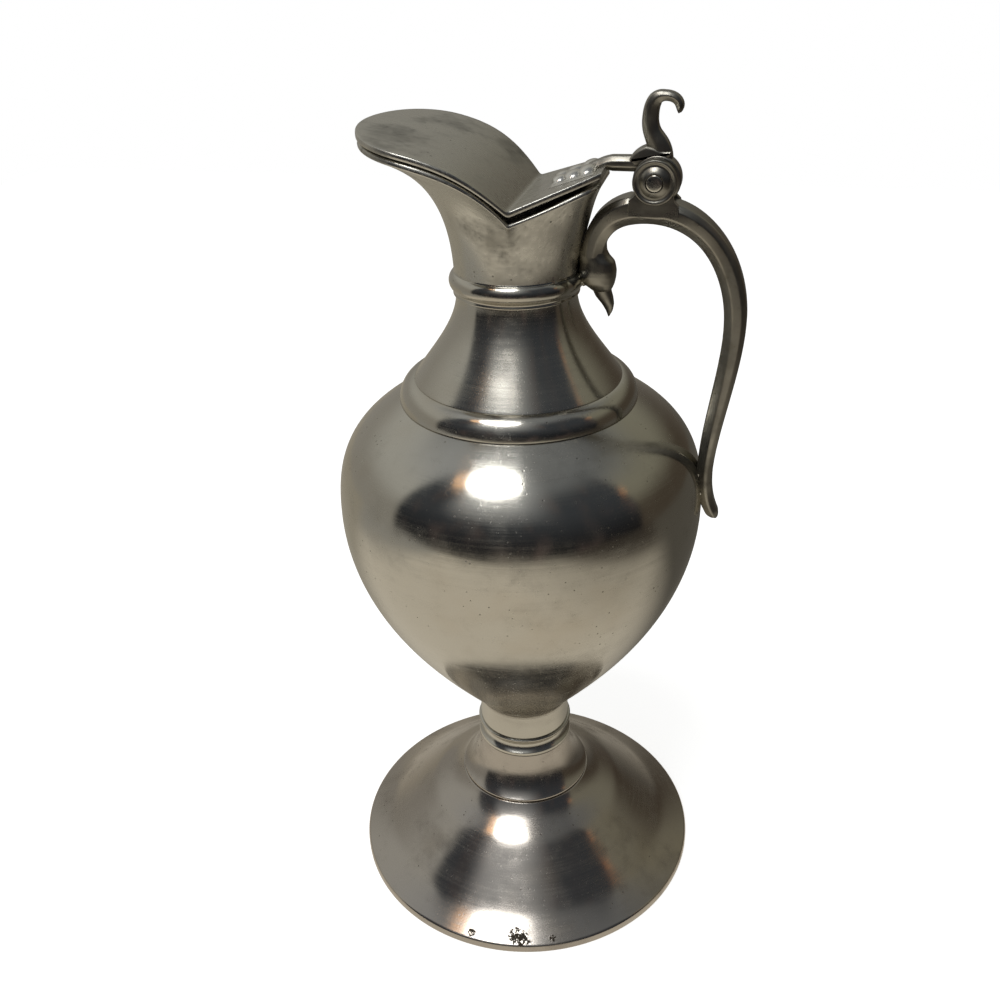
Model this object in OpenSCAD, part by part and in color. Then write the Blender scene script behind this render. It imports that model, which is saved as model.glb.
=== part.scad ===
// Pewter creamer: footed ewer with a hinged lid, bird-head handle and thumbpiece.
// Origin at the centre of the foot on the table, Z up, handle toward +X, spout toward -X.

/* [Foot] */
// diameter of the foot rim
foot_d = 80.6; // [72:0.2:96]
// height of the foot up to the collar
foot_h = 20.6; // [17:0.2:26]
// height of the rolled rim edge
rim_h = 2.3; // [1.6:0.1:3.2]

/* [Stem] */
// diameter of the bell collar on the foot
flare_d = 30; // [27:0.2:33]
// height of the bell collar
flare_h = 10.4; // [8:0.2:14]
// height of the grooved knop
knop_h = 5.1; // [4:0.1:8]
// height of the plain drum
drum_h = 6.0; // [4:0.2:9]
// diameter of the plain drum
drum_d = 20.9; // [20:0.1:23]

/* [Bowl] */
// greatest diameter of the bowl
bowl_d = 75.8; // [70:0.2:82]
// height of the bowl
bowl_h = 76.9; // [69:0.1:86]
// wall of the turned shells
wall = 1.4; // [1.1:0.1:1.8]

/* [Neck] */
// height of the convex shoulder band
band_h = 4.4; // [3.4:0.2:6]
// height of the neck
neck_h = 17; // [14:0.5:21]
// height of the bead over the neck
bead_h = 4.6; // [4:0.2:6]

/* [Spout cup and lid] */
// reach of the pouring lip from the axis
spout_reach = 27.2; // [25.6:0.2:29.6]
// height of the cup up to the spout tip
cup_h = 26.5; // [25.5:0.1:27.5]
// thickness of the lid plate
lid_t = 1.0; // [0.9:0.1:1.4]
// gap between cup rim and lid
lid_gap = 0.5; // [0.4:0.1:0.9]
// extra depth of the V cut in the cup
vee_drop = 1.0; // [0.4:0.1:1.4]

/* [Hinge] */
// diameter of the hinge pin
pin_d = 2.96; // [2.4:0.1:3.4]
// running clearance between pin and knuckle on the radius
pin_play = 0.05; // [0.03:0.01:0.09]
// width of the lid knuckle
knuckle_w = 3.6; // [3:0.2:5]
// thickness of each hinge cheek
cheek_t = 1.5; // [1.2:0.1:2]
// gap beside and under the knuckle
knuckle_gap = 0.35; // [0.3:0.05:0.5]

/* [Handle] */
// width of the handle bar across the jug
handle_w = 5.4; // [4.6:0.2:6.4]
// how far the handle bows out past the bowl
handle_bow = 3.7; // [2.8:0.1:6]

/* [Hidden] */
$fn = 96;
steps = 9;
z_flare = foot_h;
z_knop = z_flare + flare_h;
z_drum = z_knop + knop_h;
z_bowl = z_drum + drum_h;
z_band = z_bowl + bowl_h;
z_neck = z_band + band_h;
z_bead = z_neck + neck_h;
z_cup = z_bead + bead_h;
foot_r = foot_d / 2;
flare_r = flare_d / 2;
drum_r = drum_d / 2;
bowl_r = bowl_d / 2;
stem_bore = 8.6;
bowl_foot_r = drum_r + 0.15;
seam_r = 23.7;
band_top_r = 20.8;
throat_r = 11.7;
z_belly = z_bowl + 0.6944 * bowl_h;
vee_x = 1.9;
vee_z = z_cup + 0.5264 * cup_h;
tip_z = z_cup + cup_h;
back_slope = 20;
back_x = 17;
lid_half = 20.15;
fold_half = 15.15;
leaf_start = 5.9;
leaf_l = 8.3;
leaf_w = 7.6;
leaf_t = 0.6;
arm_low = 1.2;
arm_high = 4;
arm_lap = 5;
cut_w = 2 * bowl_d;
hinge_x = 25.8;
hinge_z = z_cup + 0.64151 * cup_h;
pin_r = pin_d / 2;
knuckle_r = 4.3;
knuckle_off = 0.2;
cheek_r = 3.95;
boss_r = 2.7;
boss_h = 0.8;
pocket_w = knuckle_w + 2 * knuckle_gap;
hinge_w = pocket_w + 2 * cheek_t;
z_low = z_belly + 6.5;
bow_x = bowl_r + handle_bow;
low_x = bowl_r + 1.9;
pewter = [0.62, 0.61, 0.58];
bright = [0.70, 0.69, 0.66];
dark = [0.45, 0.44, 0.42];

// cubic curve through the corners a and d, pulled toward b and c
function bez(a, b, c, d, n = steps) = [for (i = [0:n]) let (t = i / n, s = 1 - t)
    s * s * s * a + 3 * s * s * t * b + 3 * s * t * t * c + t * t * t * d];
function rest(p) = [for (i = [1:len(p) - 1]) p[i]];
function back(p) = [for (i = [len(p) - 1:-1:0]) p[i]];
function along(p, i) = let (d = p[min(i + 1, len(p) - 1)] - p[max(i - 1, 0)]) d / norm(d);
function left(p, i) = let (t = along(p, i)) [-t.y, t.x];
function is_end(p, i) = i == 0 || i == len(p) - 1;
// the same outline moved inward by the wall, level at both ends
function inset(p, w) = [for (i = [0:len(p) - 1])
    is_end(p, i) ? p[i] - [w, 0] : p[i] + w * left(p, i)];
// bar outline along a middle line, half width running from ha to hb
function bar(p, ha, hb) = let (n = len(p) - 1) concat(
    [for (i = [0:n]) p[i] + (ha + (hb - ha) * i / n) * left(p, i)],
    [for (i = [n:-1:0]) p[i] - (ha + (hb - ha) * i / n) * left(p, i)]);

// bar outline along a middle line, half width read from a table by point number
function taper(p, h) = let (n = len(p) - 1) concat(
    [for (i = [0:n]) p[i] + lookup(i, h) * left(p, i)],
    [for (i = [n:-1:0]) p[i] - lookup(i, h) * left(p, i)]);

module shell(p, w) {
    rotate_extrude() polygon(concat(p, back(inset(p, w))));
}

module upright(w) {
    rotate([90, 0, 0]) linear_extrude(height = w, center = true) children();
}

module across(x, z, r, w) {
    translate([x, 0, z]) rotate([90, 0, 0]) cylinder(r = r, h = w, center = true);
}

// ogee foot: rolled edge, turned-out rim, dome and a small cove under the collar
bell_r = foot_r - 11.3;
bell_z = 0.466 * foot_h;
cove_r = flare_r + 5.5;
cove_z = foot_h - 4;
foot_curve = concat(
    [[foot_r, 0], [foot_r, rim_h - 0.9]],
    bez([foot_r - 0.6, rim_h], [foot_r - 4.4, rim_h + 1.95], [bell_r + 2.6, bell_z - 2.78],
        [bell_r, bell_z], 6),
    rest(bez([bell_r, bell_z], [bell_r - 2.6, bell_z + 2.78], [cove_r + 3.1, cove_z - 1.94],
        [cove_r, cove_z], 5)),
    rest(bez([cove_r, cove_z], [cove_r - 1.6, cove_z + 1], [flare_r + 1.8, foot_h - 1.8],
        [flare_r + 0.2, foot_h], 4)),
    [[flare_r - 3.4, foot_h]]);

flare_curve = concat(
    [[flare_r - 0.3, z_flare]],
    bez([flare_r, z_flare + 0.35], [flare_r - 1.9, z_flare + 1.9],
        [drum_r + 0.45, z_flare + 0.54 * flare_h], [drum_r + 0.25, z_knop]));

bowl_low = bez([bowl_foot_r + 0.6, z_bowl + 1.9], [bowl_foot_r + 13.6, z_bowl + 0.2224 * bowl_h],
    [bowl_r, z_bowl + 0.4343 * bowl_h], [bowl_r, z_belly], 12);
bowl_high = bez([bowl_r, z_belly], [bowl_r, z_belly + 0.1434 * bowl_h],
    [bowl_r - 2.3, z_belly + 0.2224 * bowl_h], [seam_r, z_band], 11);
bowl_curve = concat([[bowl_foot_r, z_bowl]], bowl_low, rest(bowl_high));

neck_curve = bez([band_top_r, z_neck], [17, z_neck + 0.317 * neck_h],
    [throat_r + 0.1, z_neck + 0.655 * neck_h], [throat_r, z_bead]);

cup_curve = bez([throat_r + 0.25, z_cup], [throat_r + 0.8, z_cup + 0.5019 * cup_h],
    [throat_r + 0.4 * (spout_reach - throat_r), z_cup + 0.8038 * cup_h],
    [spout_reach, z_cup + 0.9358 * cup_h], 12);

// height line of the lid top, from the V up to the spout tip
lid_rise = tip_z - vee_z;
tip_x = spout_reach + 0.75;
function lid_line(dz) = bez([vee_x, vee_z + dz], [-0.214 * spout_reach, vee_z + 0.667 * lid_rise + dz],
    [-0.403 * spout_reach, vee_z + 0.804 * lid_rise + dz], [-tip_x, tip_z + dz], 11);
function back_rise(x) = (x - vee_x) * tan(back_slope);
lid_lift = lid_t / cos(back_slope);
wide_x = -0.559 * spout_reach;
half_lid = concat(
    bez([-tip_x, 0], [-tip_x, lid_half / 2], [wide_x - 8.2, lid_half], [wide_x, lid_half]),
    rest(bez([wide_x, lid_half], [wide_x + 6.6, lid_half], [vee_x - 4.9, lid_half - 1.55],
        [vee_x + 0.1, fold_half], 6)),
    rest(bez([vee_x + 0.1, fold_half], [vee_x + 4.6, fold_half - 2.25], [back_x - 5, fold_half - 3.95],
        [back_x, 0.52 * fold_half], 6)));

module foot_shell() {
    color(pewter) shell(foot_curve, wall);
}

module stem_flare() {
    color(pewter) rotate_extrude()
        polygon(concat(flare_curve, [[stem_bore, z_knop], [stem_bore, z_flare]]));
}

module stem_knop() {
    r = drum_r + 0.5;
    top = z_knop + knop_h;
    groove = bez([r, z_knop + 0.24 * knop_h], [r - 1.3, z_knop + 0.4 * knop_h],
        [r - 1.3, top - 0.3 * knop_h], [r - 0.2, top - 0.18 * knop_h]);
    color(pewter) rotate_extrude() polygon(concat([[stem_bore, z_knop], [r, z_knop]], groove,
        [[r, top - 0.16 * knop_h], [r, top], [stem_bore, top]]));
}

module stem_drum() {
    color(bright) rotate_extrude()
        translate([stem_bore, z_drum]) square([drum_r - stem_bore, drum_h]);
}

module bowl() {
    inner = inset(bowl_curve, wall);
    lift = 4;
    color(pewter) rotate_extrude() polygon(concat([[0, z_bowl]], bowl_curve,
        [for (i = [len(inner) - 1:-1:3]) inner[i]],
        [[bowl_foot_r - 2, z_bowl + lift - 1], [0, z_bowl + lift - 2]]));
}

module shoulder_band() {
    curve = bez([seam_r + 0.3, z_band], [seam_r + 0.3, z_band + 0.55 * band_h],
        [band_top_r + 1.6, z_neck - 0.2], [band_top_r + 0.1, z_neck], 6);
    color(bright) shell(curve, wall + 0.3);
}

module neck_cone() {
    color(pewter) shell(neck_curve, wall);
}

module bead_side() {
    fillet = 0.5;
    tube = (bead_h - fillet) / 2;
    union() {
        translate([throat_r - wall, z_bead]) square([wall + 0.3, bead_h]);
        translate([throat_r - wall, z_bead]) square([wall + 0.55, fillet]);
        intersection() {
            translate([throat_r - 0.75, z_bead + fillet + tube]) circle(r = tube, $fn = 48);
            translate([throat_r - wall, z_bead]) square([2 * bead_h, bead_h]);
        }
    }
}

module neck_bead() {
    color(bright) rotate_extrude() bead_side();
}

// region under the rim line of the cup
module cup_side() {
    drop = -lid_lift - lid_gap;
    front = lid_line(drop);
    polygon(concat([[bowl_d, z_bead], [bowl_d, vee_z + back_rise(bowl_d) + drop],
        [back_x, vee_z + back_rise(back_x) + drop], [vee_x, vee_z + drop - vee_drop]],
        rest(front), [[-bowl_d, tip_z + drop], [-bowl_d, z_bead]]));
}

module spout_cup() {
    color(pewter) intersection() {
        shell(cup_curve, wall - 0.1);
        upright(cut_w) cup_side();
    }
}

module lid_plate() {
    top = lid_line(0);
    under = lid_line(-lid_lift);
    end_x = back_x + knuckle_r;
    color(pewter) intersection() {
        upright(cut_w) polygon(concat(
            [[end_x, vee_z + back_rise(end_x)]], top,
            back(under), [[end_x, vee_z + back_rise(end_x) - lid_lift]]));
        translate([0, 0, z_bead]) linear_extrude(height = bowl_d)
            polygon(concat(half_lid, back([for (p = half_lid) [p.x, -p.y]])));
    }
}

// arm of the strap with the knuckle, seen from the side
module strap_core() {
    end_z = vee_z + back_rise(back_x);
    lap_x = back_x - arm_lap;
    rise_x = back_x - 0.72 * arm_lap;
    upright(knuckle_w - 0.4) polygon([[lap_x, vee_z + back_rise(lap_x)], [back_x, end_z],
        [back_x + 0.4, end_z], [back_x + 0.9, hinge_z + arm_low], [hinge_x - arm_high, hinge_z + arm_low],
        [hinge_x, hinge_z - arm_high / 2], [hinge_x, hinge_z + 0.86 * knuckle_r],
        [hinge_x - 1.07 * knuckle_r, hinge_z + arm_high], [back_x + 0.2 * arm_lap, hinge_z + arm_high],
        [back_x - 0.26 * arm_lap, hinge_z + 0.75 * arm_high], [rise_x, vee_z + back_rise(rise_x) + 0.5]]);
    across(hinge_x + knuckle_off, hinge_z, knuckle_r, knuckle_w);
}

module lid_strap() {
    fan = [[0, 0.7 * leaf_w], [leaf_l, leaf_w], [leaf_l, -leaf_w], [0, -0.7 * leaf_w]];
    color(bright) difference() {
        union() {
            strap_core();
            translate([vee_x, 0, vee_z]) rotate([0, -back_slope, 0]) translate([leaf_start, 0, 0]) {
                linear_extrude(height = leaf_t) polygon(fan);
                for (b = [[0.12, 1], [0.43, 1.3], [0.81, 1.5]])
                    translate([b.x * leaf_l, 0, leaf_t + 0.5 - b.y]) intersection() {
                        rotate([90, 0, 0]) cylinder(r = b.y, h = 1.3 * leaf_w, center = true);
                        translate([-leaf_w, -leaf_w, b.y - 0.7]) cube(2 * leaf_w);
                    }
            }
        }
        across(hinge_x, hinge_z, pin_r + pin_play, cut_w);
    }
}

module thumbpiece() {
    foot = [hinge_x + 0.55, hinge_z + 2.6];
    bend = [hinge_x - 1.5, hinge_z + 10.4];
    crest = [hinge_x + 0.9, hinge_z + 14.12];
    low = bez(foot, [foot.x, foot.y + 4], [bend.x - 0.1, bend.y - 3.4], bend);
    high = bez(bend, [bend.x + 0.1, bend.y + 2.4], [crest.x - 1.7, crest.y], crest);
    hook = bez(crest, [crest.x + 2, crest.y], [crest.x + 3, crest.y - 1.4], [crest.x + 2.4, crest.y - 2.85], 7);
    color(bright) difference() {
        upright(knuckle_w - 0.2) union() {
            polygon(bar(low, 2.3, 1.35));
            polygon(bar(high, 1.35, 0.75));
            polygon(bar(hook, 0.75, 0.55));
            polygon([[hinge_x - 4.9, hinge_z + 3.75], [hinge_x - 1.8, hinge_z + 5.75],
                [hinge_x + 2.45, hinge_z + 5.55], [hinge_x + 2.2, hinge_z + 2.6], [hinge_x - 3, hinge_z + 1.6]]);
        }
        strap_core();
    }
}

module hinge_pin() {
    color(dark) across(hinge_x, hinge_z, pin_r, hinge_w + 2 * boss_h + 0.2);
}

module handle_line() {
    neck = [throat_r + 3, z_cup + 3];
    top = [hinge_x - 1.3, hinge_z - 5];
    side = [bow_x, z_cup - 8];
    low = [low_x, z_low];
    fall = side.y - low.y;
    path = concat(
        bez(neck, [neck.x + 0.4, z_cup + 8.2], [hinge_x - 7.9, top.y - 0.1], top),
        rest(bez(top, [hinge_x + 8.7, top.y + 0.3], [bow_x - 0.4, z_cup + 3], side)),
        rest(bez(side, [bow_x + 0.4, side.y - 0.314 * fall], [low_x - 0.9, low.y + 0.286 * fall], low)),
        rest(bez(low, [low.x + 0.3, low.y - 3], [low.x + 1.2, low.y - 5.5],
            [low.x + 2.8, low.y - 7.8])));
    half = [[0, 2.1], [steps, 2.6], [2 * steps, 2.1], [3 * steps, 1.75], [4 * steps, 0.7]];
    polygon(taper(path, half));
}

module bird_head() {
    x = throat_r + 4.7;
    z = z_cup - 0.4;
    union() {
        translate([x, z]) circle(r = 3.1, $fn = 48);
        translate([throat_r + 1.1, z]) square([4.9, 3.6]);
        polygon([[x - 2.3, z - 2.2], [x + 0.7, z - 7], [x + 1.9, z - 8.7], [x + 2.4, z - 8.2],
            [x + 2.9, z - 5.7], [x + 2.5, z - 1.8]]);
    }
}

module handle_solid() {
    upright(handle_w) {
        handle_line();
        bird_head();
    }
    upright(hinge_w) intersection() {
        handle_line();
        translate([hinge_x - 5.5, hinge_z - 12]) square([11, 12]);
    }
    across(hinge_x, hinge_z, cheek_r, hinge_w);
    upright(hinge_w) translate([hinge_x - cheek_r, hinge_z - 5]) square([2 * cheek_r, 5]);
    across(hinge_x, hinge_z, boss_r, hinge_w + 2 * boss_h);
}

module handle() {
    color(dark) difference() {
        handle_solid();
        across(hinge_x, hinge_z, knuckle_r + knuckle_off + knuckle_gap, pocket_w);
        upright(pocket_w) translate([hinge_x - cup_h / 2, hinge_z - 2]) square([cup_h / 2, cup_h]);
        upright(pocket_w) translate([hinge_x - 2 * cheek_r, hinge_z]) square([4 * cheek_r, cup_h]);
        across(hinge_x, hinge_z, pin_r, cut_w);
    }
}

module upper_pad() {
    color(bright) difference() {
        translate([throat_r - 1, -1.6, z_cup - 3.2]) cube([4, 3.2, 3]);
        rotate_extrude($fn = 360) {
            bead_side();
            translate([0, z_bead]) square([throat_r + 0.1, bead_h]);
        }
        upright(handle_w + 2) bird_head();
    }
}

module lower_pad() {
    color(bright) difference() {
        translate([bowl_r - 4, -1.8, z_low - 2]) cube([5, 3.6, 4.6]);
        rotate_extrude($fn = 360) polygon(concat([[0, z_bowl]], bowl_curve, [[0, z_band]]));
        upright(handle_w + 2) handle_line();
    }
}

foot_shell();
stem_flare();
stem_knop();
stem_drum();
bowl();
shoulder_band();
neck_cone();
neck_bead();
spout_cup();
lid_plate();
lid_strap();
thumbpiece();
hinge_pin();
handle();
upper_pad();
lower_pad();
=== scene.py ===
"""Looks of a footed pewter creamer with a hinged lid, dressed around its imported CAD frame."""

import logging
import math
from dataclasses import dataclass
from enum import Enum
from math import cos, pi, radians, sin, sqrt
from typing import Callable, Optional, Sequence, Union

import bmesh
import bpy
import numpy as np
from mathutils import Matrix, Vector


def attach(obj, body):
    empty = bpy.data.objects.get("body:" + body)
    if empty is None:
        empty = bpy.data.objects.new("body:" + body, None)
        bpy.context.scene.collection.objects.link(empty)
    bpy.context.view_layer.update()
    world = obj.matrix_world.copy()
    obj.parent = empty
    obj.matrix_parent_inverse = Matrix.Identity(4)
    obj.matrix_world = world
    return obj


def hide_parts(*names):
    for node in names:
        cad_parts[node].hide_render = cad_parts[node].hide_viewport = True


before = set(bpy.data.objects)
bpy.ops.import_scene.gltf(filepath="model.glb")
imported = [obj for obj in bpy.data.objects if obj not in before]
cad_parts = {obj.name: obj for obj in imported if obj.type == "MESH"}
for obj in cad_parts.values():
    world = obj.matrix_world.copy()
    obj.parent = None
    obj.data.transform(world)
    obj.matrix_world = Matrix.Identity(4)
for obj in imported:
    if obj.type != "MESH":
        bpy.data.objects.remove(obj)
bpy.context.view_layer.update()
LOG = logging.getLogger("creamer")
MM = 0.001
CRISP = 50.0  # degrees of turn past which an edge is shaded crisp
Pt = tuple[float, float]
Colour = tuple[float, float, float, float]
Piece = bpy.types.Object


class Body(Enum):
    """Moving bodies of the frame."""

    JUG = "jug"
    LID = "lid"


class Slot(Enum):
    """Material slots of the record."""

    SATIN = "pewter_satin"
    BRIGHT = "pewter_bright"
    DULL = "pewter_dull"
    CAST = "pewter_cast"
    SOLDER = "solder"


@dataclass(frozen=True)
class Curve:
    """Cubic curve in a plane, in millimetres.

    Args:
        a: Start point.
        b: First pull point.
        c: Second pull point.
        d: End point.
    """

    a: Pt
    b: Pt
    c: Pt
    d: Pt

    def points(self, count: int) -> list[Pt]:
        """Spaces points along the curve.

        Args:
            count: Number of steps.

        Returns:
            The count + 1 points.
        """
        t = np.linspace(0.0, 1.0, count + 1)[:, None]
        s = 1.0 - t
        ends = s**3 * np.array(self.a) + t**3 * np.array(self.d)
        pulls = 3 * s * s * t * np.array(self.b) + 3 * s * t * t * np.array(self.c)
        return [tuple(p) for p in ends + pulls]


class Line:
    """Plane geometry on lists of points."""

    @staticmethod
    def chain(*runs: Sequence[Pt]) -> list[Pt]:
        """Joins runs of points end to end and drops repeats.

        Args:
            runs: Runs of points, in order.

        Returns:
            One run.
        """
        out: list[Pt] = []
        for run in runs:
            for p in run:
                if not out or math.dist(out[-1], p) > 1e-6:
                    out.append((float(p[0]), float(p[1])))
        return out

    @staticmethod
    def moved(points: Sequence[Pt], step: Pt) -> list[Pt]:
        """Returns the points shifted by one step."""
        return [(p[0] + step[0], p[1] + step[1]) for p in points]

    @staticmethod
    def arc(centre: Pt, wide: float, tall: float, start: float, end: float, count: int) -> list[Pt]:
        """Returns count points of an oval arc between two angles, in radians."""
        turns = np.linspace(start, end, count)
        return [(centre[0] + wide * cos(a), centre[1] + tall * sin(a)) for a in turns]

    @staticmethod
    def left(points: Sequence[Pt]) -> np.ndarray:
        """Finds the unit left normal along an open run.

        Args:
            points: The run.

        Returns:
            One row (x, y) for each point.
        """
        p = np.array(points, float)
        d = np.empty_like(p)
        d[1:-1] = p[2:] - p[:-2]
        d[0] = p[1] - p[0]
        d[-1] = p[-1] - p[-2]
        d /= np.linalg.norm(d, axis=1)[:, None]
        return np.stack([-d[:, 1], d[:, 0]], axis=1)

    @staticmethod
    def inset(points: Sequence[Pt], wall: float) -> list[Pt]:
        """Moves a run inward, level at both ends.

        Args:
            points: The outside run.
            wall: How far it moves.

        Returns:
            The inside run.
        """
        p = np.array(points, float)
        q = p + wall * Line.left(points)
        q[0] = p[0] - (wall, 0.0)
        q[-1] = p[-1] - (wall, 0.0)
        return [tuple(v) for v in q]

    @staticmethod
    def soften(loop: Sequence[Pt], radius: float, limit: float = 22.0) -> list[Pt]:
        """Rounds the sharp corners of a closed loop.

        Args:
            loop: Corner points.
            radius: Largest run taken off each side of a corner.
            limit: Smallest turn, in degrees, that counts as a corner.

        Returns:
            The loop with an arc in place of each corner.
        """
        p = [np.array(v, float) for v in loop]
        out: list[Pt] = []
        for i, here in enumerate(p):
            back, ahead = p[i - 1] - here, p[(i + 1) % len(p)] - here
            lb, la = np.linalg.norm(back), np.linalg.norm(ahead)
            turn = 180.0 - math.degrees(math.acos(np.clip(back @ ahead / (lb * la), -1, 1)))
            on_axis = abs(here[0]) < 1e-9
            if turn < limit or on_axis:
                out.append(tuple(here))
                continue
            cut = min(radius, 0.45 * lb, 0.45 * la)
            start, end = here + back / lb * cut, here + ahead / la * cut
            for t in np.linspace(0.0, 1.0, 6):
                out.append(tuple((1 - t) ** 2 * start + 2 * t * (1 - t) * here + t * t * end))
        return out

    @staticmethod
    def refine(loop: Sequence[Pt], longest: float) -> list[Pt]:
        """Splits the long straight runs of a closed loop so that shading stays even.

        Args:
            loop: Corner points.
            longest: Longest step that is kept.

        Returns:
            The finer loop.
        """
        out: list[Pt] = []
        for i, a in enumerate(loop):
            b = loop[(i + 1) % len(loop)]
            parts = max(1, math.ceil(math.dist(a, b) / longest))
            for k in range(parts):
                t = k / parts
                out.append((a[0] + (b[0] - a[0]) * t, a[1] + (b[1] - a[1]) * t))
        return out


class Skin:
    """Turns grids of points, in millimetres, into smooth mesh objects."""

    @staticmethod
    def grid(name: str, rows: np.ndarray, ring_rows: bool, capped: bool = False,
             sharp: float = CRISP) -> Piece:
        """Builds one mesh from rows of closed loops.

        Args:
            name: Object name.
            rows: Array of shape (rows, points, 3).
            ring_rows: True when the last row joins the first.
            capped: True to close the first and the last loop.
            sharp: Edges that turn more than this many degrees stay crisp.

        Returns:
            The new object, linked to the scene.
        """
        n, m = rows.shape[:2]
        verts = [tuple(v) for v in rows.reshape(-1, 3) * MM]
        faces = []
        for i in range(n if ring_rows else n - 1):
            k = (i + 1) % n
            for j in range(m):
                q = (j + 1) % m
                faces.append((i * m + j, i * m + q, k * m + q, k * m + j))
        if capped:
            faces.append(tuple(range(m)))
            faces.append(tuple((n - 1) * m + j for j in reversed(range(m))))
        return Skin.mesh(name, verts, faces, sharp)

    @staticmethod
    def mesh(name: str, verts: Sequence[tuple], faces: Sequence[tuple], sharp: float) -> Piece:
        """Makes a cleaned, smooth-shaded mesh object.

        Args:
            name: Object name.
            verts: Points, in metres.
            faces: Rows of point numbers.
            sharp: Edges that turn more than this many degrees stay crisp.

        Returns:
            The new object, linked to the scene.
        """
        data = bpy.data.meshes.new(name)
        data.from_pydata(verts, [], faces)
        work = bmesh.new()
        work.from_mesh(data)
        bmesh.ops.remove_doubles(work, verts=work.verts, dist=2e-6)
        bmesh.ops.dissolve_degenerate(work, edges=work.edges, dist=1e-7)
        bmesh.ops.recalc_face_normals(work, faces=work.faces)
        work.to_mesh(data)
        work.free()
        data.polygons.foreach_set("use_smooth", [True] * len(data.polygons))
        data.set_sharp_from_angle(angle=radians(sharp))
        obj = bpy.data.objects.new(name, data)
        bpy.context.scene.collection.objects.link(obj)
        return obj

    @staticmethod
    def lathe(name: str, loop: Sequence[Pt], segments: int = 176) -> Piece:
        """Turns a closed loop about the Z axis.

        Args:
            name: Object name.
            loop: Points (radius, height).
            segments: Steps around.

        Returns:
            The closed object.
        """
        p = np.array(loop, float)
        a = np.linspace(0.0, 2 * pi, segments, endpoint=False)[:, None]
        rows = np.stack([np.cos(a) * p[:, 0], np.sin(a) * p[:, 0], np.ones_like(a) * p[:, 1]], axis=2)
        return Skin.grid(name, rows, ring_rows=True)

    @staticmethod
    def spun(name: str, loop: Sequence[Pt], centre: Pt, segments: int, off: float = 0.0) -> Piece:
        """Turns a closed loop of (radius, y) about a line along Y.

        Args:
            name: Object name.
            loop: Points (radius, y).
            centre: Place (x, z) of the line.
            segments: Steps around.
            off: How far the outside lies off the bore, toward +X.

        Returns:
            The closed object.
        """
        p = np.array(loop, float)
        a = np.linspace(0.0, 2 * pi, segments, endpoint=False)[:, None]
        shift = np.where(p[:, 0] > 0.6 * p[:, 0].max(), off, 0.0)
        rows = np.stack([centre[0] + shift + np.cos(a) * p[:, 0], np.ones_like(a) * p[:, 1],
                         centre[1] + np.sin(a) * p[:, 0]], axis=2)
        return Skin.grid(name, rows, ring_rows=True)

    @staticmethod
    def slab(name: str, loop: Sequence[Pt], half: float, soft: float) -> Piece:
        """Carries a closed loop from -half to half along Y, with eased edges.

        Args:
            name: Object name.
            loop: Points (x, z).
            half: Half width.
            soft: Radius of the edges.

        Returns:
            The closed object.
        """
        p = np.array(loop, float)
        d = np.roll(p, -1, axis=0) - np.roll(p, 1, axis=0)
        n = np.stack([-d[:, 1], d[:, 0]], axis=1) / np.linalg.norm(d, axis=1)[:, None]
        area = float(np.sum(p[:, 0] * np.roll(p[:, 1], -1) - np.roll(p[:, 0], -1) * p[:, 1]))
        n *= math.copysign(1.0, area)
        steps = np.linspace(0, pi / 2, 6)
        ease = [(half - soft + soft * sin(v), soft * (1 - cos(v))) for v in steps]
        ends = [(-y, e) for y, e in ease[::-1]] + ease
        rows = [[(q[0], y, q[1]) for q in p + e * n] for y, e in ends]
        return Skin.grid(name, np.array(rows), ring_rows=False, capped=True)

    @staticmethod
    def sweep(name: str, path: Sequence[Pt], section: Callable[[int, float], Sequence[Pt]]) -> Piece:
        """Carries a section along a path in the X-Z plane.

        Args:
            name: Object name.
            path: Points (x, z) of the middle line.
            section: Gives the closed loop (offset to the left, y) at a station and its share of the way.

        Returns:
            The closed, smooth object.
        """
        n = Line.left(path)
        rows = []
        for i, p in enumerate(path):
            loop = section(i, i / (len(path) - 1))
            rows.append([(p[0] + u * n[i, 0], y, p[1] + u * n[i, 1]) for u, y in loop])
        return Skin.grid(name, np.array(rows), ring_rows=False, capped=True)

    @staticmethod
    def join(objects: Sequence[Piece], name: str) -> Piece:
        """Merges several objects into the first.

        Args:
            objects: Objects to merge.
            name: Name of the whole.

        Returns:
            The first object.
        """
        work = bmesh.new()
        for obj in objects:
            part = obj.data.copy()
            part.transform(obj.matrix_world)
            work.from_mesh(part)
            bpy.data.meshes.remove(part)
        keep = objects[0]
        work.to_mesh(keep.data)
        work.free()
        keep.matrix_world = Matrix.Identity(4)
        for obj in objects[1:]:
            bpy.data.objects.remove(obj)
        keep.data.polygons.foreach_set("use_smooth", [True] * len(keep.data.polygons))
        keep.data.set_sharp_from_angle(angle=radians(CRISP))
        keep.name = name
        return keep


Value = Union[float, "Sock"]


def arithmetic(kind: str, swapped: bool = False) -> Callable[["Sock", Value], "Sock"]:
    """Makes an operator method that adds one Math node.

    Args:
        kind: Operation of the Math node.
        swapped: True for the reflected form, in which the socket stands second.

    Returns:
        The method.
    """

    def method(this: "Sock", other: Value) -> "Sock":
        """Adds the Math node for this socket and the other value."""
        return this.graph.math(kind, other, this) if swapped else this.graph.math(kind, this, other)

    return method


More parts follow.
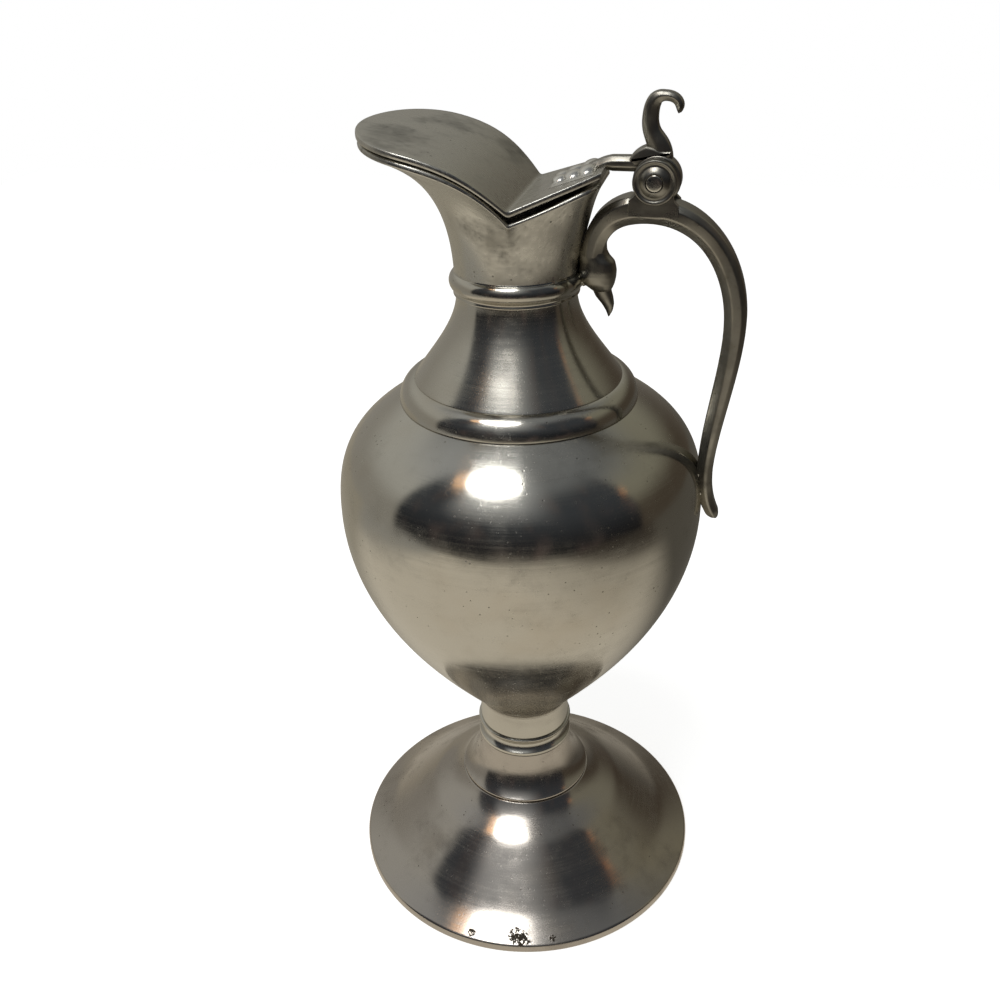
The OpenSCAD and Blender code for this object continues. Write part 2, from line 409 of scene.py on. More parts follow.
class Sock:
    """One output of a shader graph, with arithmetic."""

    __add__, __radd__ = arithmetic("ADD"), arithmetic("ADD", True)
    __sub__, __rsub__ = arithmetic("SUBTRACT"), arithmetic("SUBTRACT", True)
    __mul__, __rmul__ = arithmetic("MULTIPLY"), arithmetic("MULTIPLY", True)
    __truediv__, __rtruediv__ = arithmetic("DIVIDE"), arithmetic("DIVIDE", True)

    def __init__(self, graph: "Graph", out: Optional[bpy.types.NodeSocket]) -> None:
        """Keeps the graph and the node's output."""
        self.graph = graph
        self.out = out

    def ramp(self, low: float, high: float, start: float = 0.0, end: float = 1.0) -> "Sock":
        """Returns a smooth step from start to end as the value goes from low to high."""
        return self.graph.node(
            "ShaderNodeMapRange", {"interpolation_type": "SMOOTHSTEP"},
            {"Value": self, "From Min": low, "From Max": high, "To Min": start, "To Max": end})


class Graph:
    """Builds shader nodes in one tree."""

    def __init__(self, tree: bpy.types.NodeTree) -> None:
        """Starts with an empty tree."""
        self.tree = tree
        tree.nodes.clear()

    def node(self, kind: str, settings: dict[str, object], inputs: dict[Union[str, int], object],
             out: Union[str, int] = 0) -> Sock:
        """Adds a node.

        Args:
            kind: Blender node type.
            settings: Properties set first.
            inputs: Socket values or links.
            out: Output that is returned.

        Returns:
            The chosen output.
        """
        made = self.tree.nodes.new(kind)
        for key, value in settings.items():
            setattr(made, key, value)
        for key, value in inputs.items():
            if isinstance(value, Sock):
                self.tree.links.new(value.out, made.inputs[key])
            else:
                made.inputs[key].default_value = value
        return Sock(self, made.outputs[out]) if len(made.outputs) else Sock(self, None)

    def math(self, operation: str, a: Value, b: Value = 0.0) -> Sock:
        """Adds one Math node."""
        return self.node("ShaderNodeMath", {"operation": operation}, {0: a, 1: b})

    def mix(self, share: Value, a: object, b: object) -> Sock:
        """Mixes two colours by share, through the colour sockets of the node."""
        return self.node("ShaderNodeMix", {"data_type": "RGBA"}, {0: share, 6: a, 7: b}, 2)

    def vector(self, x: Value, y: Value, z: Value) -> Sock:
        """Combines three values into a vector."""
        return self.node("ShaderNodeCombineXYZ", {}, {0: x, 1: y, 2: z})

    def parts(self, vector: Sock) -> list[Sock]:
        """Splits a vector into its three values."""
        first = self.node("ShaderNodeSeparateXYZ", {}, {0: vector})
        return [Sock(self, first.out.node.outputs[i]) for i in range(3)]

    def noise(self, vector: Sock, scale: float, detail: float = 3.0, rough: float = 0.5) -> Sock:
        """Adds a noise field from 0 to 1."""
        return self.node("ShaderNodeTexNoise", {},
                         {"Vector": vector, "Scale": scale, "Detail": detail, "Roughness": rough})


def rgb(r: float, g: float, b: float) -> Colour:
    """Returns an opaque colour."""
    return (r, g, b, 1.0)


WHITE = rgb(1.0, 1.0, 1.0)
PATINA = rgb(0.44, 0.37, 0.27)
CRUST = rgb(0.10, 0.085, 0.065)


@dataclass(frozen=True)
class Pewter:
    """A pewter finish.

    Args:
        base: Clean metal colour.
        shade: Tarnished colour.
        rough: Roughness of the clean metal.
        turned: Strength of the turning marks, as a share of roughness.
        tarnish: How far blotches darken the metal.
        pits: How dense the small dark pits are.
        scratch: Strength of straight brushed scratches.
        spread: Constant anisotropy, which draws highlights out across the turning marks.
        lumps: Strength of a rough cast or soldered surface.
        warm: How far brownish patina shows.
        spots: Corroded places (x, y, z, half width, half height) in millimetres.
    """

    base: Colour
    shade: Colour
    rough: float
    turned: float = 0.0
    tarnish: float = 0.3
    pits: float = 0.0
    scratch: float = 0.0
    spread: float = 0.0
    lumps: float = 0.0
    warm: float = 0.0
    spots: tuple[tuple[float, float, float, float, float], ...] = ()

    def crust(self, g: Graph, place: Sock, smudge: Sock) -> Value:
        """Masks the corroded places.

        Args:
            g: Graph of the material.
            place: Object coordinates.
            smudge: Noise that breaks up the edges.

        Returns:
            The mask, or 0 where the finish has no such place.
        """
        if not self.spots:
            return 0.0
        near: Value = 0.0
        axes = g.parts(place)
        for *centre, wide, tall in self.spots:
            steps = [(v - at * MM) / (half * MM) for v, at, half in zip(axes, centre, (wide, wide, tall))]
            away = g.math("SQRT", sum(v * v for v in steps))
            near = near + (away + (smudge - 0.5) * 2.2).ramp(1.0, 0.75)
        grain = g.noise(place, 1500.0, 3.0, 0.7).ramp(0.42, 0.56)
        return (near * grain).ramp(0.1, 0.8)

    def material(self, name: str) -> bpy.types.Material:
        """Builds the node material.

        Args:
            name: Material name.

        Returns:
            The material.
        """
        mat = bpy.data.materials.new(name)
        mat.use_nodes = True
        g = Graph(mat.node_tree)
        place = g.node("ShaderNodeTexCoord", {}, {}, "Object")
        x, y, z = g.parts(place)
        radius = g.math("SQRT", x * x + y * y)
        angle = g.math("ARCTAN2", y, x)
        # Marks of making: fine rings and wider bands round the axis, brush strokes and stray lines.
        rings = g.noise(g.vector(angle * 1.3, z * 2600.0, radius * 2600.0), 1.0, 3.0, 0.6)
        bands = g.noise(g.vector(angle * 0.8, z * 420.0, radius * 420.0), 1.0, 2.0, 0.5)
        strokes = g.noise(g.vector(x * 160.0, y * 2400.0, z * 900.0), 1.0, 4.0, 0.6)
        stray = g.vector(angle * 60.0 + z * 300.0, z * 2200.0 - angle * 30.0, radius * 900.0)
        nick = g.noise(stray, 1.0, 1.0).ramp(0.68, 0.74) * (self.turned + self.scratch)
        # Marks of age: blotches, pits, patina and corroded places.
        smudge = g.noise(place, 260.0, 6.0, 0.65)
        clouds = g.noise(place, 70.0, 4.0, 0.6).ramp(0.46, 0.7)
        blot = clouds * self.tarnish + smudge.ramp(0.5, 0.75) * (0.45 * self.tarnish)
        cells = g.node("ShaderNodeTexVoronoi", {"feature": "F1"},
                       {"Vector": place, "Scale": 620.0, "Randomness": 1.0}, "Distance")
        pit = cells.ramp(0.17, 0.05) * g.noise(place, 120.0, 2.0).ramp(0.5, 0.64) * self.pits
        brown = g.noise(place, 38.0, 3.0, 0.55).ramp(0.5, 0.75) * self.warm
        crust = self.crust(g, place, smudge)
        dull = (blot + pit * 0.9 + (bands - 0.5) * self.turned).ramp(0.0, 1.0)
        colour = g.mix(dull, g.mix(brown, self.base, PATINA), self.shade)
        if self.spots:
            colour = g.mix(crust, colour, CRUST)
        rough = (self.rough + (rings - 0.5) * self.turned + (bands - 0.5) * (0.5 * self.turned)
                 + (strokes - 0.5) * self.scratch + blot * 0.22 + pit * 0.25 + nick * 0.5
                 + crust * 0.4 + (smudge - 0.5) * 0.12)
        height = (rings * (0.6 * self.turned) + strokes * (0.8 * self.scratch) + smudge * (0.12 + self.lumps)
                  - pit * 0.8 - nick * 0.6 + crust * 4.0)
        bump = g.node("ShaderNodeBump", {}, {"Strength": 0.35, "Distance": 0.00004, "Height": height})
        shader = g.node("ShaderNodeBsdfPrincipled", {}, {
            "Base Color": colour, "Metallic": 1.0, "Roughness": rough.ramp(0.05, 0.95, 0.05, 0.95),
            "Anisotropic": self.spread, "Anisotropic Rotation": 0.25, "Normal": bump})
        g.node("ShaderNodeOutputMaterial", {}, {"Surface": shader})
        return mat


class Workshop:
    """Keeps the finishes and puts dressed pieces on their bodies."""

    def __init__(self) -> None:
        """Makes every finish once."""
        clean, dark = rgb(0.57, 0.55, 0.49), rgb(0.28, 0.26, 0.22)
        finishes = {
            Slot.SATIN: Pewter(clean, dark, 0.24, turned=0.16, tarnish=0.28,
                               pits=0.8, spread=0.85, warm=0.35),
            Slot.BRIGHT: Pewter(rgb(0.55, 0.53, 0.47), rgb(0.33, 0.31, 0.26), 0.24, turned=0.14, tarnish=0.15,
                                pits=0.2, spread=0.8, warm=0.2),
            Slot.DULL: Pewter(rgb(0.59, 0.575, 0.52), rgb(0.20, 0.19, 0.16), 0.36, tarnish=0.55, pits=1.0,
                              scratch=0.36, warm=0.15),
            Slot.CAST: Pewter(rgb(0.35, 0.335, 0.29), rgb(0.13, 0.12, 0.10), 0.36, tarnish=0.5, pits=0.3,
                              scratch=0.10, warm=0.2),
            # Pale solder tone; on the lid's fan it is partly its own colour and partly a painted highlight
            # for the light that falls on the fan's top.
            Slot.SOLDER: Pewter(rgb(0.80, 0.785, 0.74), rgb(0.44, 0.425, 0.39), 0.33, tarnish=0.4, pits=0.6,
                                lumps=1.2),
        }
        spots = ((6.4, -38.0, 2.9, 3.3, 1.4), (-4.4, -38.7, 2.7, 0.9, 0.7), (13.6, -36.5, 2.7, 0.9, 0.6),
                 (26.0, 4.0, 12.6, 0.5, 0.5))
        worn = Pewter(rgb(0.485, 0.45, 0.405), rgb(0.23, 0.205, 0.18), 0.26, turned=0.14, tarnish=0.4,
                      pits=0.9, spread=0.5, warm=0.35, spots=spots)
        brushed = Pewter(clean, dark, 0.285, turned=0.14, tarnish=0.22, pits=0.3, spread=0.85, warm=0.25)
        self.materials = {slot: finish.material(slot.value) for slot, finish in finishes.items()}
        foot, neck = worn.material("pewter_satin_worn"), brushed.material("pewter_satin_brushed")
        self.worn = {"foot_shell": foot, "stem_flare": foot, "neck_cone": neck}

    def place(self, obj: Piece, nodes: Sequence[str], body: Body, slot: Slot,
              material: Optional[bpy.types.Material] = None) -> Piece:
        """Gives a piece its finish and its body, and hides the CAD nodes that it stands for.

        Args:
            obj: The visual piece.
            nodes: CAD nodes that it replaces.
            body: Body that it rides.
            slot: Record slot of its finish.
            material: A worn form of that finish, where the piece has one.

        Returns:
            The same object.
        """
        obj.data.materials.clear()
        obj.data.materials.append(material or self.materials[slot])
        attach(obj, body.value)
        if nodes:
            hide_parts(*nodes)
        LOG.info("placed %s on %s", obj.name, body.value)
        return obj

    def dress(self, node: str, slot: Slot, bevel: float) -> Piece:
        """Finishes a CAD node that is shown as it is, with softened edges.

        Args:
            node: Node name.
            slot: Record slot of its finish.
            bevel: Width of the softened edges.

        Returns:
            The node's object.
        """
        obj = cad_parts[node]
        obj.data.materials.clear()
        obj.data.materials.append(self.materials[slot])
        mod = obj.modifiers.new("soft_edges", "BEVEL")
        mod.width = bevel * MM
        mod.segments = 3
        mod.limit_method = "ANGLE"
        LOG.info("dressed %s", node)
        return obj


@dataclass
class JugSizes:
    """Sizes of the jug, in millimetres, with heights stacked from the table."""

    foot_r: float = 40.3
    foot_h: float = 20.6
    rim_h: float = 2.3
    flare_r: float = 15.0
    flare_h: float = 10.4
    knop_h: float = 5.1
    drum_h: float = 6.0
    drum_r: float = 10.45
    bowl_r: float = 37.9
    bowl_h: float = 76.9
    belly_share: float = 0.6944
    wall: float = 1.4
    band_h: float = 4.4
    neck_h: float = 17.0
    bead_h: float = 4.6
    bore: float = 8.6
    seam_r: float = 23.7
    band_top_r: float = 20.8
    throat_r: float = 11.7
    reach: float = 27.2

    def __post_init__(self) -> None:
        """Stacks the heights from the table up."""
        self.z_knop = self.foot_h + self.flare_h
        self.z_drum = self.z_knop + self.knop_h
        self.z_bowl = self.z_drum + self.drum_h
        self.z_belly = self.z_bowl + self.belly_share * self.bowl_h
        self.z_band = self.z_bowl + self.bowl_h
        self.z_neck = self.z_band + self.band_h
        self.z_bead = self.z_neck + self.neck_h
        self.z_cup = self.z_bead + self.bead_h


@dataclass
class TurnedStack:
    """The turned sections from the foot to the bead."""

    s: JugSizes

    @staticmethod
    def _shell(curve: Sequence[Pt], wall: float, soft: float) -> list[Pt]:
        """Returns the loop of a wall that follows the curve, with eased corners."""
        return Line.soften(list(curve) + Line.inset(curve, wall)[::-1], soft)

    def foot(self) -> list[Pt]:
        """Draws the ogee foot: rolled edge, turned-out rim, dome and cove.

        The dome is given by its slope in degrees at each radius, eased and summed up to its height.

        Returns:
            The closed loop (radius, height).
        """
        s = self.s
        r, f, rim, top = s.foot_r, s.flare_r, s.rim_h, s.foot_h - 0.1
        slopes = np.array([
            (r - 0.6, 26.5), (r - 3.8, 29.5), (r - 5.9, 32.5), (r - 6.9, 39.8), (r - 12.3, 41.0),
            (f + 7.9, 40.2), (f + 6.9, 31.5), (f + 3.6, 31.0), (f + 2.4, 38.0), (f + 1.2, 45.0),
            (f + 0.2, 52.0)])
        along = np.linspace(r - 0.6, f + 0.2, 121)
        window = np.hanning(19)
        eased = np.pad(np.interp(-along, -slopes[:, 0], slopes[:, 1]), 8, mode="edge")
        steep = np.tan(np.radians(np.convolve(eased, window[1:-1] / window.sum(), "valid")))
        climb = np.r_[0.0, np.cumsum((steep[1:] + steep[:-1]) / 2 * -np.diff(along))]
        dome = np.stack([along, rim + climb * (top - rim) / climb[-1]], axis=1)
        edge = Line.arc((r - 0.75, rim - 0.85), 0.75, 0.85, 0.0, 1.05, 7)
        curve = Line.chain([(r - 0.25, 0.0), (r, 0.35), (r, 0.9)], edge, dome.tolist(), [(f - 3.4, top)])
        return self._shell(curve, s.wall, 0.2)

    def flare(self) -> list[Pt]:
        """Draws the trumpet collar.

        Returns:
            The closed loop (radius, height).
        """
        s = self.s
        z, r, d = s.foot_h, s.flare_r, s.drum_r
        horn = Curve((r - 0.06, z + 0.62), (r - 1.9, z + 2.0), (d + 0.45, z + 0.54 * s.flare_h),
                     (d + 0.25, s.z_knop))
        curve = Line.chain([(r - 0.3, z), (r - 0.02, z + 0.15), (r, z + 0.4)], horn.points(40))
        return Line.soften(curve + [(s.bore, s.z_knop), (s.bore, z)], 0.15)

    def knop(self) -> list[Pt]:
        """Draws the knop with its groove between two lips.

        Returns:
            The closed loop (radius, height).
        """
        s = self.s
        z, h, r = s.z_knop, s.knop_h, s.drum_r + 0.5
        low = Line.arc((r - 0.45, z + 0.5), 0.45, 0.5, -1.5, 0.5, 9)
        groove = Curve((r - 0.1, z + 0.2 * h), (r - 1.4, z + 0.38 * h), (r - 1.4, z + 0.7 * h),
                       (r - 0.3, z + 0.81 * h))
        high = Line.arc((r - 0.4, z + 0.91 * h), 0.4, 0.4, -1.3, 1.4, 11)
        loop = Line.chain([(s.bore, z)], low, groove.points(20), high, [(s.bore, z + h)])
        return Line.soften(loop, 0.12)

    def drum(self) -> list[Pt]:
        """Draws the plain drum, very slightly waisted.

        Returns:
            The closed loop (radius, height).
        """
        s = self.s
        z, h, waist = s.z_drum, s.drum_h, 0.12
        wall = [(s.drum_r - waist * sin(pi * t), z + h * t) for t in np.linspace(0, 1, 9)]
        return Line.soften(Line.chain([(s.bore, z)], wall, [(s.bore, z + h)]), 0.12)

    def bowl(self) -> list[Pt]:
        """Draws the bowl, closed below.

        Returns:
            The closed loop (radius, height).
        """
        s = self.s
        b, z, h, wide, belly = s.drum_r + 0.15, s.z_bowl, s.bowl_h, s.bowl_r, s.z_belly
        line = Line.chain(
            Curve((b, z), (b + 0.02, z + 0.7), (b + 0.2, z + 1.4), (b + 0.6, z + 1.9)).points(8),
            Curve((b + 0.6, z + 1.9), (b + 13.6, z + 0.2224 * h), (wide, z + 0.4343 * h),
                  (wide, belly)).points(44),
            Curve((wide, belly), (wide, belly + 0.1434 * h), (wide - 2.3, belly + 0.2224 * h),
                  (s.seam_r, s.z_band)).points(36))
        inner = [p for p in Line.inset(line, s.wall) if p[1] > z + 8.0][::-1]
        return Line.soften([(0.0, z)] + line + inner + [(s.drum_r - 1.8, z + 3.0), (0.0, z + 2.0)], 0.2)

    def band(self) -> list[Pt]:
        """Draws the convex shoulder band.

        Returns:
            The closed loop (radius, height).
        """
        s = self.s
        low, high = s.seam_r + 0.3, s.band_top_r
        curve = Curve((low, s.z_band), (low, s.z_band + 0.55 * s.band_h), (high + 1.6, s.z_neck - 0.2),
                      (high + 0.1, s.z_neck))
        return self._shell(curve.points(18), s.wall + 0.3, 0.4)

    def neck(self) -> list[Pt]:
        """Draws the neck.

        Returns:
            The closed loop (radius, height).
        """
        s = self.s
        curve = Curve((s.band_top_r, s.z_neck), (17.0, s.z_neck + 0.317 * s.neck_h),
                      (s.throat_r + 0.1, s.z_neck + 0.655 * s.neck_h), (s.throat_r, s.z_bead))
        return self._shell(curve.points(30), s.wall, 0.15)

    def bead(self) -> list[Pt]:
        """Draws the bead with its flat fillet.

        Returns:
            The closed loop (radius, height).
        """
        s = self.s
        z, t, fillet = s.z_bead, s.throat_r, 0.5
        tube = (s.bead_h - fillet) / 2
        foot = [(t - s.wall, z), (t + 0.5, z), (t + 0.55, z + 0.3), (t + 0.4, z + fillet + 0.1)]
        half_round = Line.arc((t - 0.75, z + fillet + tube), tube, tube, -0.92, 1.03, 25)
        return Line.soften(Line.chain(foot, half_round, [(t + 0.25, s.z_cup), (t - s.wall, s.z_cup)]), 0.12)

    def build(self, shop: Workshop) -> None:
        """Makes and places every turned section.

        Args:
            shop: Finishes and bodies.
        """
        loops = {"foot_shell": self.foot(), "stem_flare": self.flare(), "stem_knop": self.knop(),
                 "stem_drum": self.drum(), "bowl": self.bowl(), "shoulder_band": self.band(),
                 "neck_cone": self.neck(), "neck_bead": self.bead()}
        for node, loop in loops.items():
            slot = Slot.BRIGHT if node == "stem_drum" else Slot.SATIN
            shop.place(Skin.lathe(node + "_look", loop), [node], Body.JUG, slot, shop.worn.get(node))


@dataclass
class LidLine:
    """Side line and outline shared by the cup rim and the lid, in millimetres.

    Args:
        s: Sizes of the jug.
        vee_x: Place of the valley along X.
        vee_up: Height of the valley over the foot of the cup.
        rise: How far the front climbs from the valley to the tip.
        slope: Slope of the rear leaf, in degrees.
        back_x: Rear end of the lid.
        back_w: Half width at the rear end.
        widest_x: Place where the lid is widest.
        widest_w: Half width there.
        fold_at: Place and half width near the valley.
        thick: Thickness of the lid.
        gap: Room between the lid and the cup rim.
        drop: Extra depth of the V in the cup rim.
    """

    s: JugSizes
    vee_x: float = 1.9
    vee_up: float = 13.95
    rise: float = 12.55
    slope: float = 20.0
    back_x: float = 17.0
    back_w: float = 7.9
    widest_x: float = -15.2
    widest_w: float = 20.15
    fold_at: Pt = (2.0, 15.15)
    thick: float = 1.0
    gap: float = 0.5
    drop: float = 1.0

    def __post_init__(self) -> None:
        """Works out the rise of the front and the half width of the outline."""
        self.vee_z = self.s.z_cup + self.vee_up
        self.tip = -self.s.reach - 0.75
        front = Curve((self.vee_x, self.vee_z), (-5.83, self.vee_z + 0.667 * self.rise),
                      (-10.95, self.vee_z + 0.804 * self.rise), (self.tip, self.vee_z + self.rise))
        self._fx, self._fz = np.array(front.points(200))[::-1].T
        wide = self.widest_w
        self._hx, self._hw = np.array(Line.chain(
            Curve((self.tip, 0.0), (self.tip, 10.0), (-23.4, wide), (self.widest_x, wide)).points(160),
            Curve((self.widest_x, wide), (-8.6, wide), (-3.0, 18.6), self.fold_at).points(60),
            Curve(self.fold_at, (6.5, 12.9), (12.0, 11.2), (self.back_x, self.back_w)).points(60))).T

    @property
    def lift(self) -> float:
        """Upright thickness of the lid."""
        return self.thick / cos(radians(self.slope))

    def fold(self, x: float) -> float:
        """Follows the sharp fold line.

        Args:
            x: Place along the lid.

        Returns:
            Its height.
        """
        if x < self.vee_x:
            return float(np.interp(x, self._fx, self._fz))
        return self.vee_z + (x - self.vee_x) * math.tan(radians(self.slope))

    def top(self, x: float) -> float:
        """Follows the lid's top, with a slightly rounded valley.

        Args:
            x: Place along the lid.

        Returns:
            Its height.
        """
        bend = 0.5
        if abs(x - self.vee_x) >= bend:
            return self.fold(x)
        t = (x - self.vee_x + bend) / (2 * bend)
        before, after = self.fold(self.vee_x - bend), self.fold(self.vee_x + bend)
        return (1 - t) ** 2 * before + 2 * t * (1 - t) * self.vee_z + t * t * after

    def half(self, x: float) -> float:
        """Returns the half width of the lid over x."""
        return float(np.interp(x, self._hx, self._hw))

    def rim(self, x: float) -> float:
        """Follows the cup rim, cut deeper at the V.

        Args:
            x: Place along the lid.

        Returns:
            Its height.
        """
        near = math.exp(-abs(min(x - self.vee_x, 0.0)) / 2.2)
        away = min(max((x - self.vee_x) / (self.back_x - self.vee_x), 0.0), 1.0)
        return self.fold(x) - self.lift - self.gap - self.drop * near * (1.0 - 0.4 * away)

    def reach(self, turns: np.ndarray) -> np.ndarray:
        """Measures the outline from the axis, with its rear corners eased.

        Args:
            turns: Directions, in radians.

        Returns:
            The distance in each direction.
        """
        at = np.arctan2(self._hw, self._hx)[::-1]
        far = np.hypot(self._hx, self._hw)[::-1]
        turn = np.abs((turns + pi) % (2 * pi) - pi)
        out = np.where(turn < at[0], self.back_x / np.cos(np.minimum(turn, at[0])), np.interp(turn, at, far))
        return np.convolve(np.r_[out[-8:], out, out[:8]], np.ones(17) / 17, "valid")


@dataclass
class SpoutCup:
    """Trumpet cup with its V-cut rim and drawn-out lip.

    Args:
        s: Sizes of the jug.
        line: Line and outline of the lid that covers it.
        fullness: How far the rear swells, in millimetres.
    """

    s: JugSizes
    line: LidLine
    fullness: float = 0.55

    @property
    def wall(self) -> float:
        """Thickness, a little under that of the bowl."""
        return self.s.wall - 0.3

    def curve(self) -> np.ndarray:
        """Draws the outside line of the trumpet, a little past the rim.

        Returns:
            Rows (radius, height).
        """
        t, z = self.s.throat_r, self.s.z_cup
        horn = Curve((t + 0.25, z), (t + 0.8, z + 13.3), (t + 6.2, z + 21.3), (self.s.reach + 3.0, z + 25.6))
        return np.array(horn.points(240))

    def _line(self, base: np.ndarray, reach: float, c: float) -> np.ndarray:
        """Draws the trumpet line out to the lid's edge in one direction.

        Args:
            base: The plain line.
            reach: Distance of the lid's edge.
            c: Cosine of the direction.

        Returns:
            Rows (radius, height).
        """
        high = self.line.rim(reach * c)
        k = int(np.clip(np.searchsorted(base[:, 1], high), 2, len(base) - 1))
        way = base[k] - base[k - 1]
        high -= self.wall * float(way[0] / np.hypot(*way))
        k = int(np.clip(np.searchsorted(base[:, 1], high), 2, len(base) - 1))
        t = (high - base[k - 1, 1]) / (base[k, 1] - base[k - 1, 1])
        line = np.vstack([base[:k], base[k - 1] + t * (base[k] - base[k - 1])])
        u = (line[:, 1] - line[0, 1]) / (line[-1, 1] - line[0, 1])
        grow = (reach - line[0, 0]) / (line[-1, 0] - line[0, 0])
        line[:, 0] = line[0, 0] + (line[:, 0] - line[0, 0]) * (1 + (grow - 1) * u**2)
        behind = min(max((c - 0.2) / 0.7, 0.0), 1.0)
        line[:, 0] += self.fullness * behind**2 * (3 - 2 * behind) * np.sin(pi * u) ** 2
        return line

    @staticmethod
    def _even(points: np.ndarray, count: int) -> np.ndarray:
        """Spaces points evenly along a line.

        Args:
            points: Rows (radius, height).
            count: Number of points.

        Returns:
            The new rows.
        """
        run = np.r_[0.0, np.cumsum(np.linalg.norm(np.diff(points, axis=0), axis=1))]
        at = np.linspace(0.0, run[-1], count)
        return np.stack([np.interp(at, run, points[:, 0]), np.interp(at, run, points[:, 1])], axis=1)

    def build(self, shop: Workshop) -> None:
        """Makes and places the cup.

        Args:
            shop: Finishes and bodies.
        """
        base, wall = self.curve(), self.wall
        turns = np.linspace(0.0, 2 * pi, 320, endpoint=False)
        rows = []
        for a, far in zip(turns, self.line.reach(turns) - 0.4):
            c = cos(a)
            out = self._even(self._line(base, far, c), 56)
            ins = out + wall * Line.left([tuple(p) for p in out])
            ins[0] = out[0] - (wall, 0.0)
            ahead = (out[-1] - out[-2]) / np.linalg.norm(out[-1] - out[-2])
            mid, half = (out[-1] + ins[-1]) / 2, (ins[-1] - out[-1]) / 2
            arch = np.linspace(0, pi, 9)[1:-1]
            cap = [mid - half * cos(v) + ahead * 0.4 * sin(v) for v in arch]
            ring = np.vstack([out, cap, self._even(ins, 48)[::-1]])
            rows.append([(r * c, r * sin(a), z) for r, z in ring])
        cup = Skin.grid("spout_cup_look", np.array(rows), ring_rows=True)
        shop.place(cup, ["spout_cup"], Body.JUG, Slot.DULL)


@dataclass(frozen=True)
class HingeSizes:
    """Sizes of the hinge, in millimetres."""

    x: float = 25.8
    z: float = 162.0
    pin_r: float = 1.48
    play: float = 0.05
    knuckle_r: float = 4.3
    knuckle_off: float = 0.2
    knuckle_w: float = 3.6
    gap: float = 0.35
    cheek_t: float = 1.5
    cheek_r: float = 3.95
    boss_r: float = 2.7
    boss_h: float = 0.8

    @property
    def pocket(self) -> float:
        """Half width of the slot between the cheeks."""
        return self.knuckle_w / 2 + self.gap

    @property
    def outer(self) -> float:
        """Half width over the cheeks."""
        return self.pocket + self.cheek_t


class Section:
    """Closed loops used by the swept castings."""

    @staticmethod
    def bevelled(up: float, down: float, half: float, cut: float, under: float = 0.0) -> list[Pt]:
        """Returns a rectangle with bevelled, lightly rounded corners.

        Args:
            up: Reach to the left of the path.
            down: Reach to the right of the path.
            half: Half width across.
            cut: Size of the bevel.
            under: How far the bevel on the right side runs up the flanks, when it is larger.

        Returns:
            The closed loop.
        """
        c = min(cut, 0.45 * (up + down), 0.8 * half)
        d = max(c, min(under, 0.48 * (up + down)))
        corners = [(up, -half + c), (up, half - c), (up - c, half), (-down + d, half),
                   (-down, half - c), (-down, -half + c), (-down + d, -half), (up - c, -half)]
        return Line.soften(corners, 0.3 * c, 10.0)

    @staticmethod
    def oval(up: float, down: float, half: float, count: int = 40) -> list[Pt]:
        """Draws an egg shape.

        Args:
            up: Reach to the left of the path.
            down: Reach to the right of the path.
            half: Half width across.
            count: Number of points.

        Returns:
            The closed loop.
        """
        out = []
        for a in np.linspace(0.0, 2 * pi, count, endpoint=False):
            u = cos(a)
            out.append(((up if u > 0 else down) * u, half * sin(a)))
        return out

    @staticmethod
    def ridged(wide: float, half: float, edge: float) -> list[Pt]:
        """Returns a flat bar with a soft ridge along each flank.

        Args:
            wide: Reach to either side of the path.
            half: Half width across, at the ridge.
            edge: Half width at the outer edges, as a share of half.

        Returns:
            The closed loop.
        """
        e = edge * half
        corners = [(wide, -e), (wide, e), (0.12 * wide, half), (-wide, e), (-wide, -e), (0.12 * wide, -half)]
        return Line.soften(corners, 0.35 * min(wide, half), 8.0)


